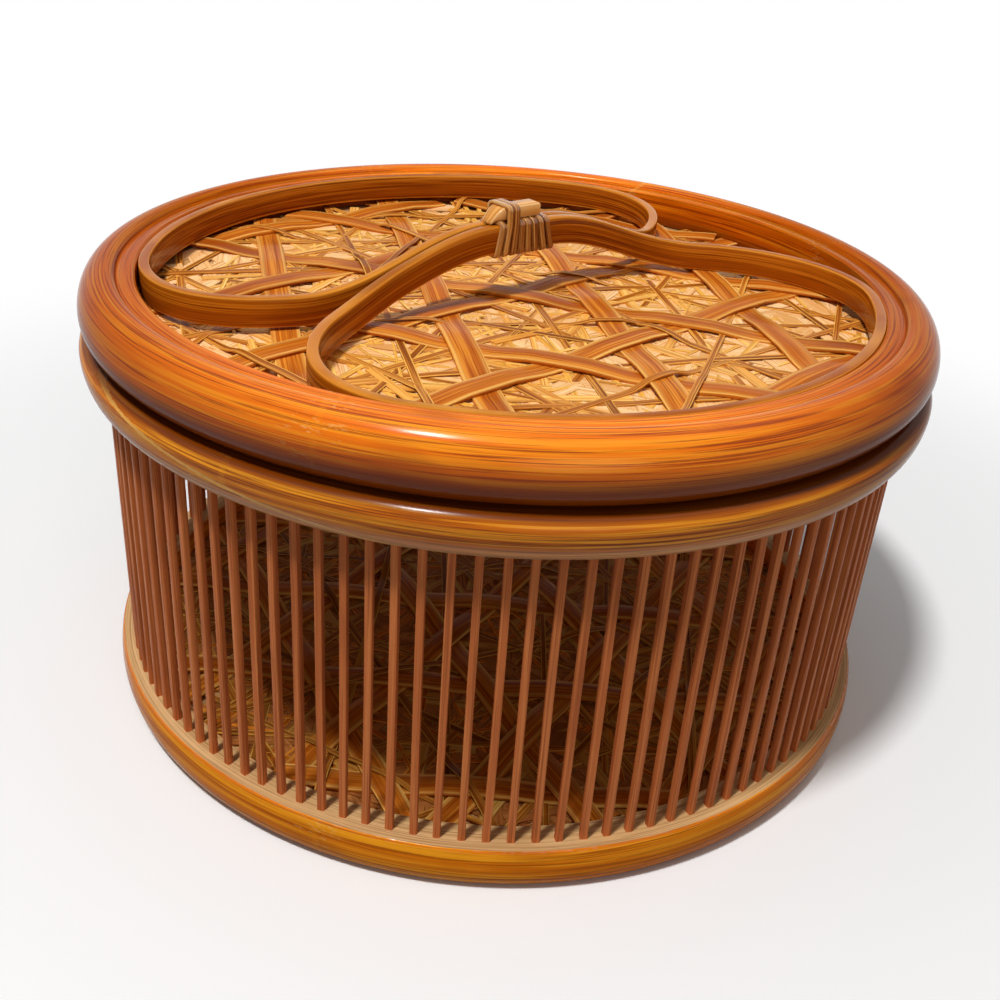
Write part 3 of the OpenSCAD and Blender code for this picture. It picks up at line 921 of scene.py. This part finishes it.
def shavings(count, reach, bed, turn, lengths, widths, heights):
    """Short flat pieces that lie about in the weave's six directions. Their sizes are in mm."""
    whole = new_laths()
    for _ in range(count):
        where = math.sqrt(chance.random()) * (reach - 3 * mm)
        around = chance.uniform(0, 360)
        middle = turned_point(where, 0, around, 0)
        angle = turn + chance.choice(DIRECTIONS) + chance.uniform(-11, 11)
        length = chance.uniform(*lengths) * mm
        width = chance.uniform(*widths) * mm
        lean = chance.uniform(-0.25, 0.25) * mm
        z = bed + chance.uniform(*heights) * mm
        points = []
        for i in range(4):
            t = (i / 3 - 0.5) * length
            p = middle + turned_point(t, 0, angle, 0)
            p.z = z + lean * (i / 3 - 0.5) * 2 + 0.12 * mm * math.sin(math.pi * i / 3)
            points.append(p)
        if max(p.to_2d().length for p in points) > reach - 0.4 * mm - width / 4:
            continue
        tilt = turned_point(0, math.radians(chance.uniform(-5, 5)), angle, 1).normalized()
        frames = frames_along(points, [tilt] * 4)
        add_lath(whole, frames, width, SHAVING_T, tone=chance.random(), start=chance.random())
    return whole


# %% The mat and the whole panel
def panel_disc(radius, under, top):
    """A round mat with a pinhole in its middle, so that it can be spun like a hoop."""
    pinhole_r = 0.5 * mm
    return turned([(pinhole_r, under), (radius, under), (radius, top), (pinhole_r, top)])


def mat_finish():
    """The thin mat under the shavings, seen only between them and from below."""
    material, tree, shader = new_finish("panel_mat")
    grain = use_group(
        tree, fibre, Grain=object_place(tree), Tone=0.5,
        Pale=(0.70, 0.40, 0.16, 1), Body=(0.55, 0.28, 0.09, 1), Deep=(0.30, 0.12, 0.04, 1),
    )
    roughness = ramp(tree, grain["Streak"], 0.3, 0.8, 0.5, 0.7)
    set_surface(tree, shader, grain["Color"], roughness, grain["Height"], 0.5)
    return material


panel_mat = mat_finish()
MAT_DROP = 0.35 * mm


def woven_panel(prefix, body, turn, reach, under, top, ground, sliver, short, wide, fine):
    """The mat and all that lies on it, from the lowest to the highest. The last five are finishes."""
    bed = top + seat
    mat = panel_disc(place(f"{prefix}_panel")[0], under, top - MAT_DROP)
    make_piece(f"{prefix}_panel_bed", mat, body, [panel_mat], "panel_bamboo")
    pieces = shavings(1000, reach, bed, turn, (10, 30), (3, 7), (-0.35, 0.0))
    make_piece(f"{prefix}_shavings", pieces, body, [ground], "panel_bamboo", f"{prefix}_panel")
    pieces = shavings(360, reach, bed, turn, (12, 38), (0.6, 1.4), (-0.05, 0.2))
    make_piece(f"{prefix}_slivers", pieces, body, [sliver], "panel_bamboo")
    pieces = shavings(100, reach, bed, turn, (16, 42), (1.4, 3.2), (0.0, 0.3))
    make_piece(f"{prefix}_short_strips", pieces, body, [short], "weave_bamboo")
    for letter, weave_set in zip("abc", WEAVE_SETS):
        strips = wide_strips(turn, weave_set, reach, bed)
        make_piece(
            f"{prefix}_strips_{letter}", strips, body, [wide], "weave_bamboo", f"{prefix}_weave_{letter}"
        )
    make_piece(f"{prefix}_fine_strips", fine_strips(turn, reach, bed), body, [fine], "weave_bamboo")


woven_panel(
    "lid", "lid", -15, lid_inner_r - seat, panel_under, panel_top,
    ground_bamboo, sliver_bamboo, short_bamboo, weave_bamboo, fine_bamboo,
)
woven_panel(
    "floor", "box", 0, inner_r - seat, floor_under, floor_top,
    floor_ground, floor_sliver, floor_short, floor_weave, floor_fine,
)

# %% [markdown]
# ## The handle
# Two long laths stand on edge. Each runs round inside the lid ring, turns in, climbs over the
# middle and returns. They lie on opposite sides, nearly alike, and back to back at the knot.
# The plan is an arc, two soft curves and a straight run, and the height follows the distance
# from the middle.

# %% The path of a handle strip
strip_t, strip_h, handle_rise, strip_ease = 2.5 * mm, 6.75 * mm, 10.75 * mm, 0.5 * mm
KNOT_ANGLE, SHORT_LEG_AT = 41, -100
SHORT_PULL = (24 * mm, 32 * mm)
tied_run, tied_gap, climb_r = 32.5 * mm, 0.8 * mm, 56.5 * mm
KNOT_TURNS, OVER_TURNS, KNOT_SPREAD = 8, 2, 0.25
knot_pitch = 1.85 * mm
knot_half = KNOT_TURNS * knot_pitch / 2
strip_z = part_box("loop_front")[0].z
strip_r = lid_inner_r - seat - strip_t / 2
strip_off = (strip_t + tied_gap) / 2


def polar(radius, degrees):
    a = math.radians(degrees)
    return Vector((radius * math.cos(a), radius * math.sin(a)))


def curve(p, count):
    """Points on a cubic curve, without its last point."""
    points = []
    for t in (i / count for i in range(count)):
        u = 1 - t
        points.append(u ** 3 * p[0] + 3 * u ** 2 * t * p[1] + 3 * u * t * t * p[2] + t ** 3 * p[3])
    return points


def ease_between(value, low, high):
    """0 below low, 1 above high, and a soft step between them."""
    t = min(1, max(0, (value - low) / (high - low)))
    return (1 - math.cos(math.pi * t)) / 2


def loop_plan(long_leg_at, long_pull):
    """One strip seen from above: half the tied run, a leg, the arc at the rim, a leg, and the other half."""
    along, side = polar(1, KNOT_ANGLE), polar(strip_off, KNOT_ANGLE - 90)
    far, near = side + tied_run * along, side - tied_run * along
    long_end, short_end = polar(strip_r, long_leg_at), polar(strip_r, SHORT_LEG_AT)
    long_dir, short_dir = polar(1, long_leg_at + 90), polar(1, SHORT_LEG_AT - 90)
    long_leg = [long_end, long_end + long_pull[1] * long_dir, far + long_pull[0] * along, far]
    short_leg = [near, near - SHORT_PULL[0] * along, short_end + SHORT_PULL[1] * short_dir, short_end]
    rim = [polar(strip_r, SHORT_LEG_AT + (long_leg_at - SHORT_LEG_AT) * i / 70) for i in range(70)]
    run = [far + (near - far) * i / 48 for i in range(48)]
    return run[24:] + curve(short_leg, 40) + rim + curve(long_leg, 40) + run[:24]


def handle_strip(long_leg_at, long_pull, half_turn):
    """A closed strip on edge that climbs to the knot. The back one is given half a turn."""
    points, ups = [], []
    plan = loop_plan(long_leg_at, long_pull)
    for i, p in enumerate(plan):
        run = plan[(i + 1) % len(plan)] - plan[i - 1]
        sign = -1 if half_turn else 1
        foot = strip_z + handle_rise * (1 - ease_between(p.length, knot_half + mm, climb_r))
        points.append(Vector((sign * p.x, sign * p.y, foot + strip_h / 2)))
        ups.append(Vector((sign * run.y, -sign * run.x, 0)).normalized())
    frames = [(point, UP, out) for point, out in zip(points, ups)]
    whole = new_laths()
    add_lath(whole, frames, strip_h, strip_t, ease=strip_ease, tone=0.45, closed=True)
    return whole


front = handle_strip(-3, (28 * mm, 30 * mm), False)
make_piece("handle_front", front, "lid", [strip_lacquer], "strip_lacquer", "loop_front")
back = handle_strip(8, (46 * mm, 23 * mm), True)
make_piece("handle_back", back, "lid", [strip_lacquer], "strip_lacquer", "loop_back")

# %% [markdown]
# ## The knot
# Flat cane is wound eight times round the two strips. The second and third turn also hold down
# a flat tail that lies along the top, so they ride higher. The cane is one lath on a long
# screw-shaped path round a rectangle with rounded corners, and its turns spread out below.

# %% The cane and its tail
cane_w, cane_t, tail_t, tail_w, tail_l = 1.6 * mm, 0.7 * mm, 2.8 * mm, 4.8 * mm, 11 * mm
bundle_w = 2 * strip_t + tied_gap
bundle_z = strip_z + handle_rise
corner = strip_ease + cane_t / 2 + seat
over_lift = tail_t + cane_t + 2 * seat
CORNER_STEPS, SIDE_STEPS = 6, 6


def turn_corner(quarter, turn):
    """The middle of one rounded corner of a turn. The turns over the tail are higher."""
    lift = over_lift if 0 < turn <= OVER_TURNS else 0.0
    across = (bundle_w / 2 - strip_ease) * (1 if quarter in (0, 3) else -1)
    up = strip_h / 2 - strip_ease + lift if quarter < 2 else strip_ease - strip_h / 2
    return Vector((across, up))


def cane_winding():
    """The screw-shaped path of the cane: its outline round the bundle, then carried along the knot."""
    outline = []
    for turn in range(KNOT_TURNS):
        for quarter in range(4):
            middle = turn_corner(quarter, turn)
            after = turn_corner((quarter + 1) % 4, turn + (quarter == 3))
            for i in range(CORNER_STEPS + 1):
                out = polar(1, 90 * quarter + 90 * i / CORNER_STEPS)
                outline.append((middle + corner * out, out))
            end = polar(1, 90 * quarter + 90)
            for i in range(1, SIDE_STEPS):
                outline.append((middle.lerp(after, i / SIDE_STEPS) + corner * end, end))
    along, side = polar(1, KNOT_ANGLE), polar(1, KNOT_ANGLE + 90)
    frames = []
    for i, (p, out) in enumerate(outline):
        low = min(1, max(0, 0.5 - p.y / strip_h))
        s = (i / len(outline) - 0.5) * KNOT_TURNS * knot_pitch * (1 + KNOT_SPREAD * low)
        point = Vector((*(s * along + p.x * side), bundle_z + strip_h / 2 + p.y))
        frames.append((point, Vector((*along, 0)), Vector((*(out.x * side), out.y))))
    whole = new_laths()
    add_lath(whole, frames, cane_w, cane_t, ease=0.2 * mm, crown=0.1 * mm, tone=0.5)
    return whole


make_piece("knot_cane", cane_winding(), "lid", [cane], "cane", "knot_binding")

tail_z = bundle_z + strip_h + 2 * seat + cane_t
tail_start, slope_l = -knot_half + 0.7 * knot_pitch, 3.1 * mm
tail_frames = []
for i in range(25):
    s = tail_start - slope_l + (tail_l + slope_l) * i / 24
    part = min(1.0, (s - tail_start + slope_l) / slope_l)
    share = 0.15 + 0.85 * part
    low = tail_z - 0.7 * mm * max(0.0, 1 - 2 * part)
    point = Vector((*(s * polar(1, KNOT_ANGLE)), low + share * tail_t / 2))
    tail_frames.append((point, (0.7 + 0.3 * part) * Vector((*polar(1, KNOT_ANGLE + 90), 0)), share * UP))
tail = new_laths()
add_lath(tail, tail_frames, tail_w, tail_t, ease=0.45 * mm, crown=0.15 * mm, tone=0.3)
make_piece("knot_tail_end", tail, "lid", [tail_bamboo], "strip_lacquer", "knot_tail")

# %% [markdown]
# ## Stage
# A pale floor, a white surround and three lamps. A small key lamp stands high in front like a
# veiled sun, so the lacquer glints and the handle throws a clear shadow on the weave.
# A wide lamp overhead and a weak one in front soften the rest.

# %% Floor, world and lamps
def seen_rays(tree):
    """1 for rays that show the surround itself: straight, mirrored or through glass."""
    rays = tree.nodes.new("ShaderNodeLightPath").outputs
    mirrored = calc(tree, "MAXIMUM", rays["Is Glossy Ray"], rays["Is Transmission Ray"])
    return calc(tree, "MAXIMUM", rays["Is Camera Ray"], mirrored)


def pale_floor(near, far):
    """A white floor that takes the shadow near the object. Further out the camera sees plain white."""
    bm = bmesh.new()
    bmesh.ops.create_grid(bm, x_segments=1, y_segments=1, size=6.0)
    mesh = bpy.data.meshes.new("floor")
    bm.to_mesh(mesh)
    bm.free()
    material, tree, shader = new_finish("floor_white")
    tint = blend(tree, seen_rays(tree), (0.30, 0.30, 0.30, 1), (0.95, 0.95, 0.95, 1))
    tree.links.new(tint, shader.inputs["Base Color"])
    shader.inputs["Roughness"].default_value = 0.9
    shader.inputs["Specular IOR Level"].default_value = 0.0
    length = tree.nodes.new("ShaderNodeVectorMath")
    length.operation = "LENGTH"
    tree.links.new(object_place(tree), length.inputs[0])
    white = tree.nodes.new("ShaderNodeEmission")
    both = tree.nodes.new("ShaderNodeMixShader")
    share = calc(tree, "MULTIPLY", seen_rays(tree), ramp(tree, length.outputs["Value"], near, far))
    tree.links.new(share, both.inputs[0])
    tree.links.new(shader.outputs[0], both.inputs[1])
    tree.links.new(white.outputs[0], both.inputs[2])
    tree.links.new(both.outputs[0], tree.nodes["Material Output"].inputs["Surface"])
    mesh.materials.append(material)
    floor = bpy.data.objects.new("floor", mesh)
    bpy.context.scene.collection.objects.link(floor)


def white_world(strength):
    """A surround that looks white and lights the box with the given strength."""
    world = bpy.data.worlds.new("studio")
    bpy.context.scene.world = world
    world.use_nodes = True
    tree = world.node_tree
    background = tree.nodes["Background"]
    background.inputs["Color"].default_value = (1, 1, 1, 1)
    tree.links.new(ramp(tree, seen_rays(tree), 0, 1, strength, 1.0), background.inputs["Strength"])


def soft_lamp(name, direction, away, size, level):
    """A round lamp that brings a white surface facing it to the given level."""
    data = bpy.data.lights.new(name, "AREA")
    data.shape = "DISK"
    data.size = size
    data.energy = level * math.pi ** 2 * (away ** 2 + (size / 2) ** 2)
    lamp = bpy.data.objects.new(name, data)
    toward = Vector(direction).normalized()
    lamp.location = toward * away
    lamp.rotation_mode = "QUATERNION"
    lamp.rotation_quaternion = (-toward).to_track_quat("-Z", "Y")
    bpy.context.scene.collection.objects.link(lamp)


pale_floor(0.14, 0.34)
white_world(0.09)
soft_lamp("key", (-0.20, -0.32, 0.93), 1.3, 0.14, 0.69)
soft_lamp("sky", (0.0, 0.1, 1.0), 1.3, 1.8, 0.19)
soft_lamp("fill", (0.35, -1.0, 0.45), 1.3, 0.7, 0.09)

# %% [markdown]
# ## Camera
# The photograph was taken from close by and a little above, with the camera turned slightly.
# The place is given as an aim point, a distance and two angles.

# %% The photograph's view
IMAGE_SIZE = 1000
FOCAL_PIXELS = 1158.1
camera_down, camera_roll = math.radians(29.01), math.radians(4.22)
camera_away = 308.3 * mm
camera_aim = Vector((0.86 * mm, 0, 39.37 * mm))

forward = Vector((0, math.cos(camera_down), -math.sin(camera_down)))
level = Vector((1, 0, 0))
above = Vector((0, math.sin(camera_down), math.cos(camera_down)))
right = math.cos(camera_roll) * level + math.sin(camera_roll) * above
top = math.cos(camera_roll) * above - math.sin(camera_roll) * level
lens = bpy.data.cameras.new("photo_camera")
lens.sensor_width = 36
lens.lens = lens.sensor_width * FOCAL_PIXELS / IMAGE_SIZE
lens.clip_start = 0.01
camera = bpy.data.objects.new("photo_camera", lens)
facing = Matrix((right, top, -forward)).transposed().to_4x4()
camera.matrix_world = Matrix.Translation(camera_aim - camera_away * forward) @ facing
bpy.context.scene.collection.objects.link(camera)
bpy.context.scene.camera = camera
bpy.context.scene.view_settings.view_transform = "Standard"
